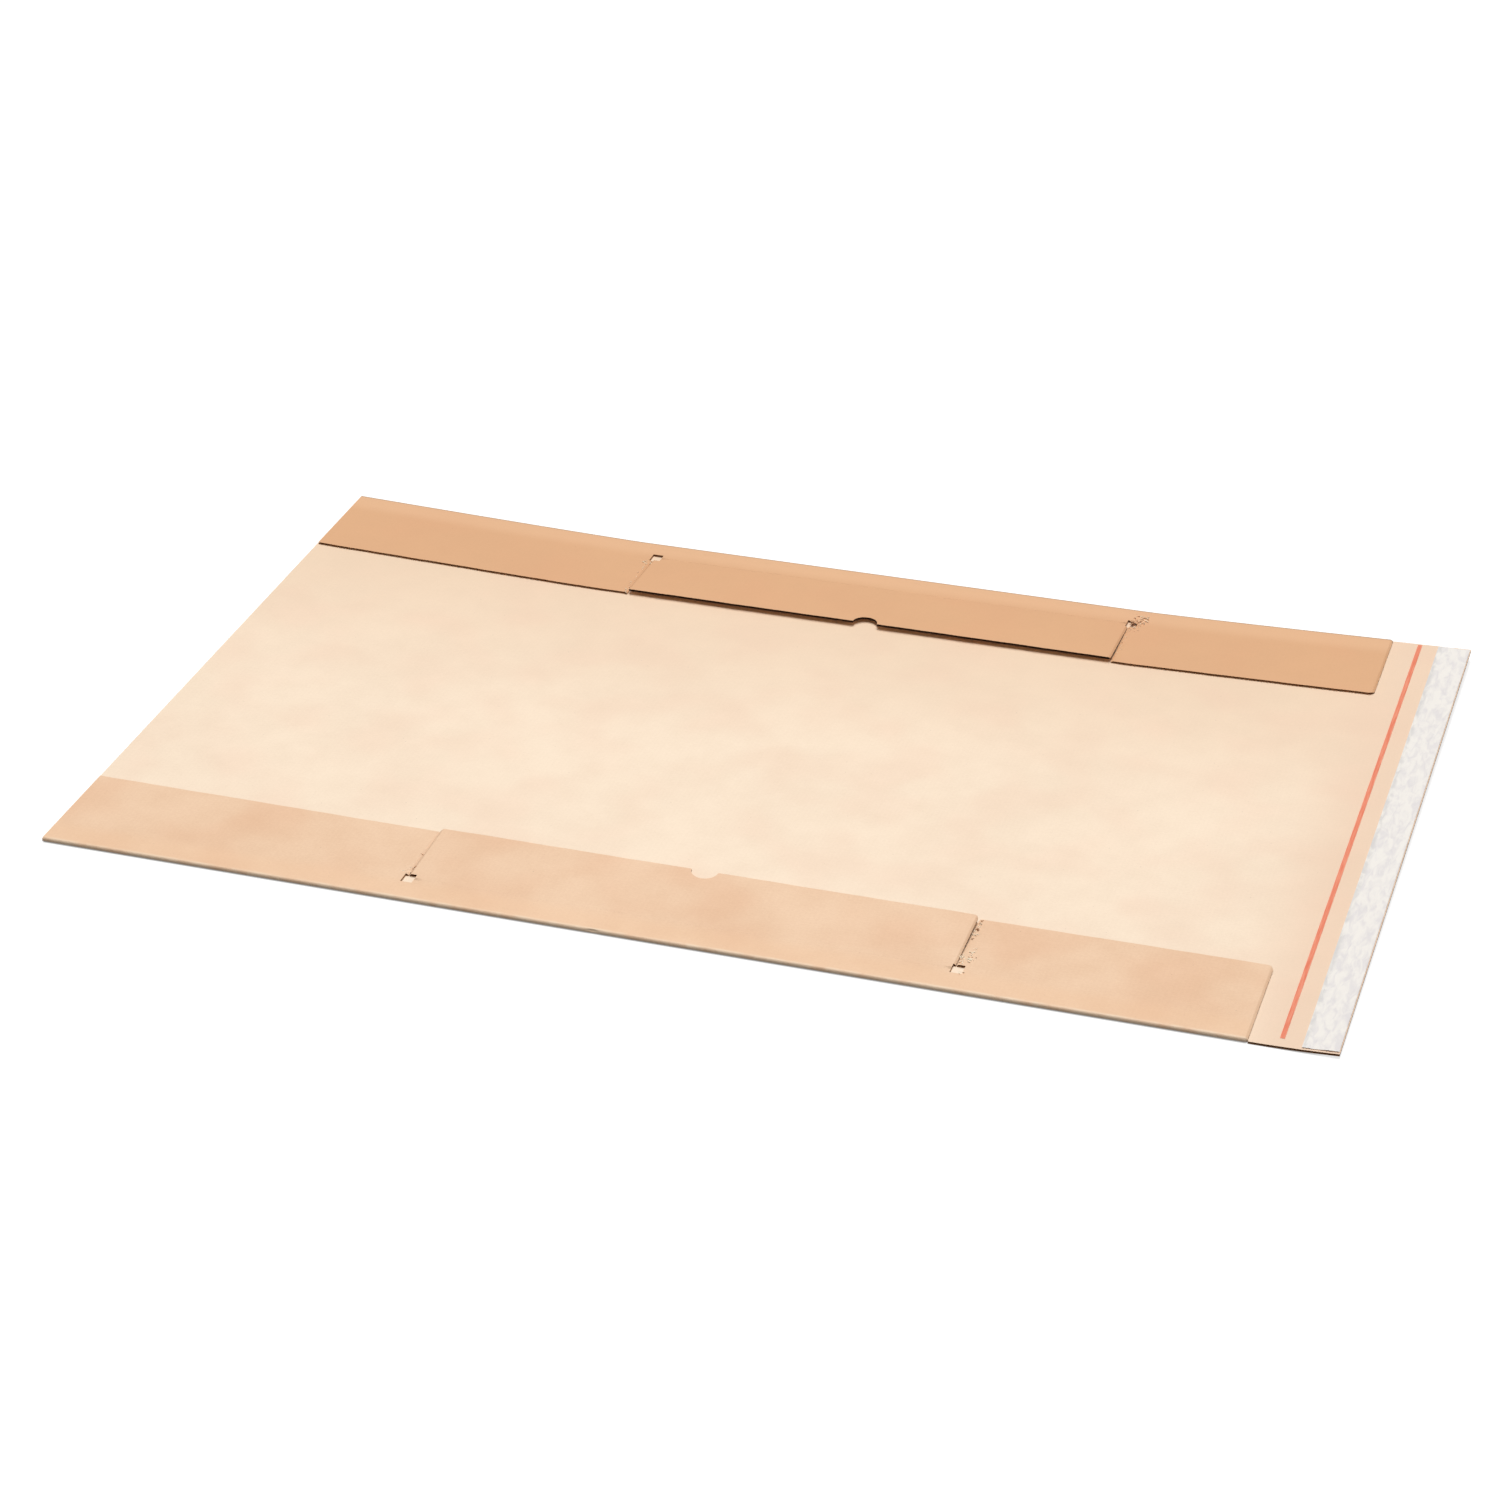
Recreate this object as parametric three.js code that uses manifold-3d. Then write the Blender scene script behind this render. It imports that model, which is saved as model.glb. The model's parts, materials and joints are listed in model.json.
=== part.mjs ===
// Wraparound mailer, a die-cut sheet of corrugated board laid open for packing.
// It wraps round its contents along X. Both long sides are folded in over the
// sheet: their end stretches are glued down, and between two cuts each has a
// centre flap with a thumb notch, hinged on a second crease. The plain end on
// +X carries a tear strip, and the adhesive strip under its release liner.
// Millimetres, +Z up, origin on the table under the middle of the sheet.
import * as THREE from "three";
import { mergeVertices } from "three/addons/utils/BufferGeometryUtils.js";
import Module from "manifold-3d";

// Sheet
const sheetLength = 1000;
const foldedWidth = 634;
const boardThickness = 1.8;
const glueLine = 0.3;

// Folded sides, measured in from the fold, and where they stop short of the ends
const sideWidth = 100;
const creaseInset = 28;
const sideStartMargin = 1.5;
const plainEndLength = 65;
const sideCornerRadius = 5;

// Centre flaps
const flapLength = 426;
const flapCentre = 2.5;
const cutWidth = 0.5;
const restLift = 2.6;
const thumbNotchRadius = 10.5;

// Relief slots through the folded sides, where the cuts meet the second crease
const reliefWidth = 9.2;
const reliefDepth = 11.5;
const reliefShift = 2.2;

// Tear strip and closure
const tearStripWidth = 3.5;
const tearStripThickness = 0.2;
const tearStripFromEnd = 42.2;
const tearStripFrontMargin = 10.5;
const linerWidth = 26.3;
const linerThickness = 0.15;
const linerEndMargin = 0.7;
const linerSideMargin = 2;
const adhesiveWidth = 20;
const adhesiveThickness = 0.2;
const adhesiveSideMargin = 5;
const filmClearance = 0.1;

// How the board has warped: the corners on +Y stand up, and so does the plain
// end's corner on -Y, a little
const flatHalfLength = 228;
const cornerLift = 7.5;
const cornerLiftPower = 1.2;
const frontCornerCurl = 2;

// Facets
const foldSegments = 8;
const notchSegments = 14;
const bowSteps = 9;
const plainEndSteps = 10;
const plainEndRows = 16;
const stripSteps = 2;
const cutterReach = 2;

const halfLength = sheetLength / 2;
const halfWidth = foldedWidth / 2;
const sideStart = -halfLength + sideStartMargin;
const sideEnd = halfLength - plainEndLength;
const foldRadius = boardThickness + glueLine / 2;
const foldedHeight = 2 * foldRadius;
const cutLeft = flapCentre - flapLength / 2;
const cutRight = flapCentre + flapLength / 2;
const reliefInset = creaseInset - reliefDepth / 2;
const front = -1;
const rear = 1;

const wasm = await Module();
wasm.setup();

function liftAt(x, y) {
  const beyondFlat = Math.max(0, Math.abs(x) - flatHalfLength) / (halfLength - flatHalfLength);
  const beyondSide = Math.max(0, x - sideEnd) / plainEndLength;
  const acrossWidth = (y + halfWidth) / foldedWidth;
  const rearLift = cornerLift * beyondFlat ** cornerLiftPower * acrossWidth;
  return rearLift + frontCornerCurl * beyondSide ** 2 * (1 - acrossWidth);
}

function warped(geometry) {
  const position = geometry.getAttribute("position");
  for (let i = 0; i < position.count; i += 1) {
    const lift = liftAt(position.getX(i), position.getY(i));
    position.setZ(i, position.getZ(i) + lift);
  }
  return geometry;
}

function block(x0, x1, y0, y1, z0, z1, xSteps = 1, ySteps = 1) {
  const geometry = new THREE.BoxGeometry(x1 - x0, y1 - y0, z1 - z0, xSteps, ySteps, 1);
  return geometry.translate((x0 + x1) / 2, (y0 + y1) / 2, (z0 + z1) / 2);
}

function welded(geometry) {
  const bare = geometry.clone();
  bare.deleteAttribute("normal");
  bare.deleteAttribute("uv");
  return mergeVertices(bare, 1e-5);
}

function solidOf(geometry) {
  const closed = welded(geometry);
  return new wasm.Manifold(new wasm.Mesh({
    numProp: 3,
    vertProperties: Float32Array.from(closed.getAttribute("position").array),
    triVerts: Uint32Array.from(closed.getIndex().array),
  }));
}

function geometryOf(solid) {
  const mesh = solid.getMesh();
  const geometry = new THREE.BufferGeometry();
  geometry.setAttribute("position", new THREE.BufferAttribute(mesh.vertProperties, 3));
  geometry.setIndex(new THREE.BufferAttribute(mesh.triVerts, 1));
  return geometry;
}

function named(name, geometry, material) {
  const mesh = new THREE.Mesh(geometry, material);
  mesh.name = name;
  return mesh;
}

// Section of the folded sheet across X: the base, a round fold on each side,
// and the folded sides lying over the base on their glue line.
function foldedSection() {
  const foldCentre = halfWidth - foldRadius;
  const innerEdge = halfWidth - sideWidth;
  const section = new THREE.Shape();
  section.moveTo(-foldCentre, 0);
  section.lineTo(foldCentre, 0);
  section.absarc(foldCentre, foldRadius, foldRadius, -Math.PI / 2, Math.PI / 2, false);
  section.lineTo(innerEdge, foldedHeight);
  section.lineTo(innerEdge, boardThickness + glueLine);
  section.lineTo(foldCentre, boardThickness + glueLine);
  section.absarc(foldCentre, foldRadius, glueLine / 2, Math.PI / 2, -Math.PI / 2, true);
  section.lineTo(-foldCentre, boardThickness);
  section.absarc(-foldCentre, foldRadius, glueLine / 2, -Math.PI / 2, Math.PI / 2, true);
  section.lineTo(-innerEdge, boardThickness + glueLine);
  section.lineTo(-innerEdge, foldedHeight);
  section.lineTo(-foldCentre, foldedHeight);
  section.absarc(-foldCentre, foldRadius, foldRadius, Math.PI / 2, (3 * Math.PI) / 2, false);
  return section;
}

// The stretch of the sheet that has folded sides, from the -X end to sideEnd
function foldedStretch() {
  const stations = [];
  for (let i = 0; i <= bowSteps; i += 1) {
    stations.push(THREE.MathUtils.lerp(-halfLength, -flatHalfLength, i / bowSteps));
  }
  for (let i = 0; i <= bowSteps; i += 1) {
    stations.push(THREE.MathUtils.lerp(flatHalfLength, sideEnd, i / bowSteps));
  }
  const steps = stations.length - 1;
  const geometry = new THREE.ExtrudeGeometry(foldedSection(), {
    depth: steps,
    steps,
    bevelEnabled: false,
    curveSegments: foldSegments,
  });
  const alongY = new THREE.Vector3(0, 1, 0);
  const alongZ = new THREE.Vector3(0, 0, 1);
  const alongX = new THREE.Vector3(1, 0, 0);
  geometry.applyMatrix4(new THREE.Matrix4().makeBasis(alongY, alongZ, alongX));
  const position = geometry.getAttribute("position");
  for (let i = 0; i < position.count; i += 1) {
    position.setX(i, stations[Math.round(position.getX(i))]);
  }
  return solidOf(warped(geometry));
}

function plainEnd() {
  const slab = block(
    sideEnd, halfLength, -halfWidth, halfWidth, 0, boardThickness, plainEndSteps, plainEndRows,
  );
  return solidOf(warped(slab));
}

// A cutter reaches through a folded side only, down to the middle of the glue line
const cutterLow = boardThickness + glueLine / 2;
const cutterHigh = foldedHeight + cutterReach;

function sideCutter(side, x0, x1, inset0, inset1) {
  const near = side * (halfWidth - inset0);
  const far = side * (halfWidth - inset1);
  const geometry = block(x0, x1, Math.min(near, far), Math.max(near, far), cutterLow, cutterHigh);
  return solidOf(warped(geometry));
}

function reliefCentres() {
  return [cutLeft + reliefShift, cutRight + reliefShift];
}

function cornerCutter(side) {
  const innerEdge = side * (halfWidth - sideWidth);
  const corner = new THREE.Shape();
  corner.moveTo(sideEnd + cutterReach, innerEdge - side * cutterReach);
  corner.lineTo(sideEnd - sideCornerRadius, innerEdge - side * cutterReach);
  corner.lineTo(sideEnd - sideCornerRadius, innerEdge);
  const arc = new THREE.EllipseCurve(
    sideEnd - sideCornerRadius, innerEdge + side * sideCornerRadius,
    sideCornerRadius, sideCornerRadius, (-side * Math.PI) / 2, 0, side < 0,
  );
  for (const point of arc.getPoints(foldSegments).slice(1)) corner.lineTo(point.x, point.y);
  corner.lineTo(sideEnd + cutterReach, innerEdge + side * sideCornerRadius);
  const depth = cutterHigh - cutterLow;
  const geometry = new THREE.ExtrudeGeometry(corner, { depth, bevelEnabled: false });
  return solidOf(warped(geometry.translate(0, 0, cutterLow)));
}

function mailerBoard() {
  let board = foldedStretch().add(plainEnd());
  const pastEnd = -halfLength - cutterReach;
  const pastEdge = sideWidth + cutterReach;
  for (const side of [front, rear]) {
    board = board.subtract(sideCutter(side, cutLeft, cutRight, creaseInset, pastEdge));
    board = board.subtract(sideCutter(side, pastEnd, sideStart, -cutterReach, pastEdge));
    for (const centre of reliefCentres()) {
      const left = centre - reliefWidth / 2;
      const right = left + reliefWidth;
      board = board.subtract(sideCutter(side, left, right, reliefInset, reliefInset + reliefDepth));
    }
    board = board.subtract(cornerCutter(side));
  }
  return geometryOf(board);
}

// A centre flap in its hinge's frame: the second crease lies along X through
// the origin, and the flap's upper face is at z = 0.
function centreFlap(side) {
  const reach = sideWidth - creaseInset;
  const reliefReach = reliefDepth / 2;
  const [reliefLeft, reliefRight] = reliefCentres();
  const hingeLeft = reliefLeft + reliefWidth / 2;
  const hingeRight = reliefRight - reliefWidth / 2;
  const left = cutLeft + cutWidth;
  const right = cutRight - cutWidth;
  const outline = [
    [hingeLeft, cutWidth],
    [hingeRight, cutWidth],
    [hingeRight, reliefReach],
    [right, reliefReach],
    [right, reach],
  ];
  for (let i = 0; i <= notchSegments; i += 1) {
    const angle = (Math.PI * i) / notchSegments;
    const x = flapCentre + thumbNotchRadius * Math.cos(angle);
    outline.push([x, reach - thumbNotchRadius * Math.sin(angle)]);
  }
  outline.push([left, reach], [left, reliefReach], [hingeLeft, reliefReach]);
  const shape = new THREE.Shape(outline.map(([x, inset]) => new THREE.Vector2(x, -side * inset)));
  const geometry = new THREE.ExtrudeGeometry(shape, { depth: boardThickness, bevelEnabled: false });
  return geometry.translate(0, 0, -boardThickness);
}

function hingedFlap(name, side, material) {
  const hinge = new THREE.Group();
  hinge.position.set(0, side * (halfWidth - creaseInset), foldedHeight);
  hinge.rotation.x = THREE.MathUtils.degToRad(-side * restLift);
  hinge.add(named(name, centreFlap(side), material));
  return hinge;
}

// Strips that lie across the plain end, one over the other
function stripOnEnd(x0, x1, y0, y1, z0, thickness) {
  return warped(block(x0, x1, y0, y1, z0, z0 + thickness, stripSteps, plainEndRows));
}

function tearStrip() {
  const centre = halfLength - tearStripFromEnd;
  const z0 = boardThickness + filmClearance;
  return stripOnEnd(
    centre - tearStripWidth / 2, centre + tearStripWidth / 2,
    -halfWidth + tearStripFrontMargin, halfWidth - linerSideMargin, z0, tearStripThickness,
  );
}

const linerRight = halfLength - linerEndMargin;
const linerMiddle = linerRight - linerWidth / 2;
const adhesiveLow = boardThickness + filmClearance;

function adhesiveStrip() {
  const reach = halfWidth - adhesiveSideMargin;
  return stripOnEnd(
    linerMiddle - adhesiveWidth / 2, linerMiddle + adhesiveWidth / 2,
    -reach, reach, adhesiveLow, adhesiveThickness,
  );
}

function releaseLiner() {
  const reach = halfWidth - linerSideMargin;
  const z0 = adhesiveLow + adhesiveThickness + filmClearance;
  return stripOnEnd(linerRight - linerWidth, linerRight, -reach, reach, z0, linerThickness);
}

const paleKraft = new THREE.MeshStandardMaterial({ color: 0xf3d9b4, roughness: 0.8, metalness: 0 });
const brownKraft = new THREE.MeshStandardMaterial({ color: 0xdfae80, roughness: 0.75, metalness: 0 });
const redFilm = new THREE.MeshStandardMaterial({ color: 0xdc4f3a, roughness: 0.35, metalness: 0 });
const clearGlue = new THREE.MeshStandardMaterial({ color: 0xe6dfc4, roughness: 0.3, metalness: 0 });
const siliconePaper = new THREE.MeshStandardMaterial({ color: 0xf2efeb, roughness: 0.45, metalness: 0 });

const mailer = new THREE.Group();
mailer.add(named("mailer_board", mailerBoard(), paleKraft));
mailer.add(hingedFlap("front_centre_flap", front, brownKraft));
mailer.add(hingedFlap("rear_centre_flap", rear, brownKraft.clone()));
mailer.add(named("tear_strip", tearStrip(), redFilm));
mailer.add(named("adhesive_strip", adhesiveStrip(), clearGlue));
mailer.add(named("release_liner", releaseLiner(), siliconePaper));

export default mailer;
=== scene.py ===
# Wraparound mailer: a long sheet of kraft-lined corrugated board, lying open on a pale
# table. Both long sides are folded in, each with a hinged centre flap, and the plain end
# carries a red tear strip and a white release liner over its adhesive.
import json
import math

import bpy
import numpy as np
from mathutils import Euler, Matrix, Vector


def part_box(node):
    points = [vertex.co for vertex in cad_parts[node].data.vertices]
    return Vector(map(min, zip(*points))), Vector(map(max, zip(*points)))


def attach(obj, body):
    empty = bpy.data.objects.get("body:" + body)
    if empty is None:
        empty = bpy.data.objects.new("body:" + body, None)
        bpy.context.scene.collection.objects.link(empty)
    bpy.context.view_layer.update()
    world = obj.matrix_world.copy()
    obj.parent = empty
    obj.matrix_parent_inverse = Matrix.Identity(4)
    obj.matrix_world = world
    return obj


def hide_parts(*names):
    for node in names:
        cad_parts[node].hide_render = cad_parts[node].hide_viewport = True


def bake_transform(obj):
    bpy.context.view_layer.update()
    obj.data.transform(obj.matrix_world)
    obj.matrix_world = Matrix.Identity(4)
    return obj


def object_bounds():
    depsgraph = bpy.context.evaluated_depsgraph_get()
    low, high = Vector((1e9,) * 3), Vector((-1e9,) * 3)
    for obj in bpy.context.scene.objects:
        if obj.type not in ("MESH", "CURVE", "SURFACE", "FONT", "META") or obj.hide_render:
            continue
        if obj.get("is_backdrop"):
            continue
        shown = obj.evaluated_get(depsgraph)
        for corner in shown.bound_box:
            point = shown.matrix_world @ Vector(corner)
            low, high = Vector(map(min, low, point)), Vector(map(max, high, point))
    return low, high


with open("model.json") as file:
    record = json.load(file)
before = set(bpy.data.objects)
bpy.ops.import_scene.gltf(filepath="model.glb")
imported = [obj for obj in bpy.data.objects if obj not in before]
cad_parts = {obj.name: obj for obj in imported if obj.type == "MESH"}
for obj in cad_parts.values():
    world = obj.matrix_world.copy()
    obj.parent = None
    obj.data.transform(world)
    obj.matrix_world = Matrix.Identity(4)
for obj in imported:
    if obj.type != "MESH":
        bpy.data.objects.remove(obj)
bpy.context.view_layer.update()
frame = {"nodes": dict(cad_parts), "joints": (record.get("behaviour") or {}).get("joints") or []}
mm = 0.001

# Camera
# The photograph's own view: a long lens held level, high over the near right of the
# mailer. Its square frame has no shift.
photo_pixels = 1500
focal_pixels = 3811.5
sensor_width = 36
camera_place = (0.7796, -2.5610, 1.4642)
camera_pitch = math.radians(28.728)
camera_turn = math.radians(17.559)

camera_data = bpy.data.cameras.new("photo_camera")
camera_data.sensor_width = sensor_width
camera_data.lens = sensor_width * focal_pixels / photo_pixels
camera = bpy.data.objects.new("photo_camera", camera_data)
camera.location = camera_place
camera.rotation_euler = Euler((math.pi / 2 - camera_pitch, 0, camera_turn))
bpy.context.scene.collection.objects.link(camera)
bpy.context.scene.camera = camera
bpy.context.scene.view_settings.view_transform = "Standard"


# Table and light
# A plain white table under two soft lamps, both high over the mailer, so that upright edges
# towards the camera stay dark. The table keeps the contact shadow.
class Wire:
    """A socket of a node tree. Sums of wires and numbers add Math nodes."""

    def __init__(self, tree, socket=None):
        self.tree = tree
        self.socket = socket

    def node(self, kind, sockets=None, output=0, **settings):
        """Adds a node, sets it, feeds its sockets, and returns one of its outputs.

        A shader node goes by its short name, and any other node by its full one.
        """
        added = self.tree.nodes.new(kind if "Node" in kind else "ShaderNode" + kind)
        for name, value in settings.items():
            setattr(added, name, value)
        for key, value in (sockets or {}).items():
            if isinstance(value, Wire):
                self.tree.links.new(value.socket, added.inputs[key])
            else:
                added.inputs[key].default_value = value
        return Wire(self.tree, added.outputs[output])

    def maths(self, operation, *values):
        return self.node("Math", dict(enumerate(values)), operation=operation)

    def __add__(self, other):
        return self.maths("ADD", self, other)

    def __sub__(self, other):
        return self.maths("SUBTRACT", self, other)

    def __rsub__(self, other):
        return self.maths("SUBTRACT", other, self)

    def __mul__(self, other):
        return self.maths("MULTIPLY", self, other)

    def __truediv__(self, other):
        return self.maths("DIVIDE", self, other)

    def __pow__(self, other):
        return self.maths("POWER", self, other)

    def __abs__(self):
        return self.maths("ABSOLUTE", self)

    __radd__ = __add__
    __rmul__ = __mul__

    def rising(self, low, high):
        """0 at low, 1 at high, smooth between. Low may be the larger of the two."""
        sockets = {"Value": self, "From Min": low, "From Max": high}
        return self.node("MapRange", sockets, interpolation_type="SMOOTHSTEP")

    def mix(self, first, second):
        """The first colour where this wire is 0 and the second where it is 1."""
        colours = {0: self, 6: first, 7: second}
        return self.node("Mix", colours, output=2, data_type="RGBA")


def finish_named(name):
    """A new material, the wire that adds its nodes, and its output node."""
    material = bpy.data.materials.new(name)
    material.use_nodes = True
    tree = material.node_tree
    tree.nodes.clear()
    return material, Wire(tree), tree.nodes.new("ShaderNodeOutputMaterial")


table_reach = 12
table_gap = 0.2 * mm
table_bounce = 0.42
table_white = 0.4
table_glow = 0.75
shadow_reach = 1.6 * mm
shadow_power = 0.6
sky_white = 1.0
sky_fill = 0.14
sky_gloss = 0.45


def table_finish():
    material, wire, output = finish_named("white_table")
    path = wire.node("LightPath", output="Is Camera Ray")
    open_sky = wire.node("AmbientOcclusion", {"Distance": shadow_reach}, output="AO")
    glow = wire.node("Emission", {"Color": open_sky ** shadow_power * table_glow})
    white = wire.node("BsdfDiffuse", {"Color": (*[table_white] * 3, 1)})
    seen = wire.node("AddShader", {0: white, 1: glow})
    dim = wire.node("BsdfDiffuse", {"Color": (*[table_bounce] * 3, 1)})
    surface = wire.node("MixShader", {0: path, 1: dim, 2: seen})
    wire.tree.links.new(surface.socket, output.inputs["Surface"])
    return material


def plain_mesh(name, corners, faces, materials):
    """A piece made from its corners and faces, in the scene and at the origin."""
    mesh = bpy.data.meshes.new(name)
    mesh.from_pydata(corners, [], faces)
    for material in materials:
        mesh.materials.append(material)
    piece = bpy.data.objects.new(name, mesh)
    bpy.context.scene.collection.objects.link(piece)
    return piece


table_corners = [
    (x * table_reach, y * table_reach, -table_gap) for x, y in ((-1, -1), (1, -1), (1, 1), (-1, 1))
]
table = plain_mesh("table", table_corners, [(0, 1, 2, 3)], [table_finish()])
table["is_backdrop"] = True

world = bpy.data.worlds.new("studio")
world.use_nodes = True
world.node_tree.nodes.clear()
sky = Wire(world.node_tree)
sky_path = sky.node("LightPath", output="Is Camera Ray")
sky_glossy = sky.node("LightPath", output="Is Glossy Ray")
sky_strength = sky_path * (sky_white - sky_fill) + sky_glossy * (sky_gloss - sky_fill) + sky_fill
sky_light = sky.node("Background", {"Strength": sky_strength})
sky_output = world.node_tree.nodes.new("ShaderNodeOutputWorld")
world.node_tree.links.new(sky_light.socket, sky_output.inputs["Surface"])
bpy.context.scene.world = world


lamp_size = 2.4


def soft_lamp(name, place, watts):
    """A square soft box at place, turned to the middle of the mailer."""
    data = bpy.data.lights.new(name, "AREA")
    data.size = lamp_size
    data.energy = watts
    lamp = bpy.data.objects.new(name, data)
    lamp.location = place
    lamp.rotation_euler = (-Vector(place)).to_track_quat("-Z", "Y").to_euler()
    bpy.context.scene.collection.objects.link(lamp)


soft_lamp("back_lamp", place=(-0.5, 1.8, 5.2), watts=128)
soft_lamp("top_lamp", place=(0.2, -0.3, 4.8), watts=136)


# Board
# One sheet of thin single-wall board: a brown kraft liner outside, a pale one inside and
# the fluted medium glued between. The long sides are folded in and their ends glued down.
thickness = 1.8 * mm
liner = 0.25 * mm
glue_line = 0.3 * mm
side_width = 100 * mm
crease_inset = 28 * mm
side_start_margin = 1.5 * mm
plain_end_length = 65 * mm
corner_radius = 5 * mm
flap_length = 426 * mm
flap_centre = 2.5 * mm
cut_width = 0.5 * mm
relief_width = 9.2 * mm
relief_depth = 11.5 * mm
relief_shift = 2.2 * mm
flat_half_length = 228 * mm
corner_lift = 7.5 * mm
corner_lift_power = 1.2
front_corner_curl = 2 * mm
tunnel_depth = 5 * mm
rim_depth = 0.6 * mm
cut_slit = 0.2 * mm
crush_reach = 1.8 * mm
crush_share = 0.65

board_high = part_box("mailer_board")[1]
half_length = board_high.x
half_width = board_high.y
fold_radius = thickness + glue_line / 2
fold_centre = half_width - fold_radius
fold_arc = math.pi * (fold_radius - thickness / 2)
side_start = -half_length + side_start_margin
side_end = half_length - plain_end_length
cut_left = flap_centre - flap_length / 2
cut_right = flap_centre + flap_length / 2
relief_near = crease_inset - relief_depth / 2
relief_far = crease_inset + relief_depth / 2
relief_spans = [
    (cut + relief_shift - relief_width / 2, cut + relief_shift + relief_width / 2)
    for cut in (cut_left, cut_right)
]
sheet_edge = fold_centre + fold_arc + side_width - fold_radius
nick_x = -52 * mm
nick_width = 3.5 * mm
nick_depth = 1.1 * mm
nick_turn = 1.9
nick_turn_width = 0.5
edge_sway = 0.3 * mm
sway_reach = 20 * mm
sway_waves = ((0.173, 1.9), (0.071, 4.1), (0.0337, 0.7))
side_sway_seed = 2


def across_of(inset):
    """How far from the sheet's middle line, over the flat blank, a folded side's inset is."""
    return fold_centre + fold_arc + inset - fold_radius


def warp(x, y):
    """The lift of the warped sheet: its corners on +Y, and a curl at the near right one."""
    beyond_flat = np.maximum(0, abs(x) - flat_half_length) / (half_length - flat_half_length)
    beyond_side = np.maximum(0, x - side_end) / plain_end_length
    across = (y + half_width) / (2 * half_width)
    rear = corner_lift * beyond_flat**corner_lift_power * across
    return rear + front_corner_curl * beyond_side**2 * (1 - across)


def sway(x, seed):
    """A slow wander of a cut or folded edge along the sheet, from -1 to 1."""
    waves = [np.sin(x / length * math.tau + seed * phase) for length, phase in sway_waves]
    return sum(waves) / len(waves)


def smooth(value):
    """0 up to 0, 1 from 1 on, smooth between."""
    level = np.clip(value, 0, 1)
    return level * level * (3 - 2 * level)


def rounded(x, y, end_x, end_y, radius):
    """Pulls the square corner at end_x, end_y onto a quarter disc."""
    u = np.clip((x - end_x + radius) / radius, 0, 1)
    v = np.clip((y - end_y + radius) / radius, 0, 1)
    inside = (x <= end_x) & (u > 0) & (v > 0)
    round_x = end_x - radius + radius * u * np.sqrt(1 - v**2 / 2)
    round_y = end_y - radius + radius * v * np.sqrt(1 - u**2 / 2)
    return np.where(inside, round_x, x), np.where(inside, round_y, y)


def crushed_by(h, from_end):
    """The depth h in the board where the die has crushed it, near an end cut across it."""
    return h + crush_share * np.clip(1 - from_end / crush_reach, 0, 1) * (thickness - h)


def on_board(x, s, h):
    """Where a point of the flat blank lies: x along, s across, h up from the outer face."""
    side = np.sign(s)
    x, reach = rounded(x, abs(s), side_end, sheet_edge, corner_radius)
    from_cut = np.maximum(x - cut_right, cut_left - x)
    past_crease = (from_cut >= 0) & (reach > across_of(crease_inset))
    from_end = np.where(past_crease, np.minimum(from_cut, side_end - x), side_end - x)
    h = np.where((reach > fold_centre) & (x <= side_end), crushed_by(h, from_end), h)
    near_edge = smooth((reach - sheet_edge + sway_reach) / sway_reach)
    reach = reach + edge_sway * sway(x, side_sway_seed + side) * near_edge

    angle = np.clip((reach - fold_centre) / fold_arc, 0, 1) * math.pi
    radius = fold_radius - h
    past = np.maximum(0, reach - fold_centre - fold_arc)
    y = np.minimum(reach, fold_centre) + radius * np.sin(angle) - past
    z = fold_radius - radius * np.cos(angle)
    from_nick = ((x - nick_x) / nick_width) ** 2 + ((angle - nick_turn) / nick_turn_width) ** 2
    y = y - nick_depth * np.exp(-from_nick) * (side < 0) * (1 - h / thickness)
    plain = x > side_end
    y = np.where(plain, reach, y) * side
    z = np.where(plain, h, z)
    return x, y, z + warp(x, y)


mark_digits = 7
outer_face, inner_face, cut_face, crushed_face = range(4)
sharp_turn = math.radians(35)


def lines(marks, step):
    """Lattice lines through every mark, and no further apart than step between them."""
    marks = sorted({round(mark, mark_digits) for mark in marks})
    made = [marks[0]]
    for low, high in zip(marks, marks[1:]):
        parts = max(1, math.ceil((high - low) / step))
        made += [low + (high - low) * i / parts for i in range(1, parts + 1)]
    return np.array(made)


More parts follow.
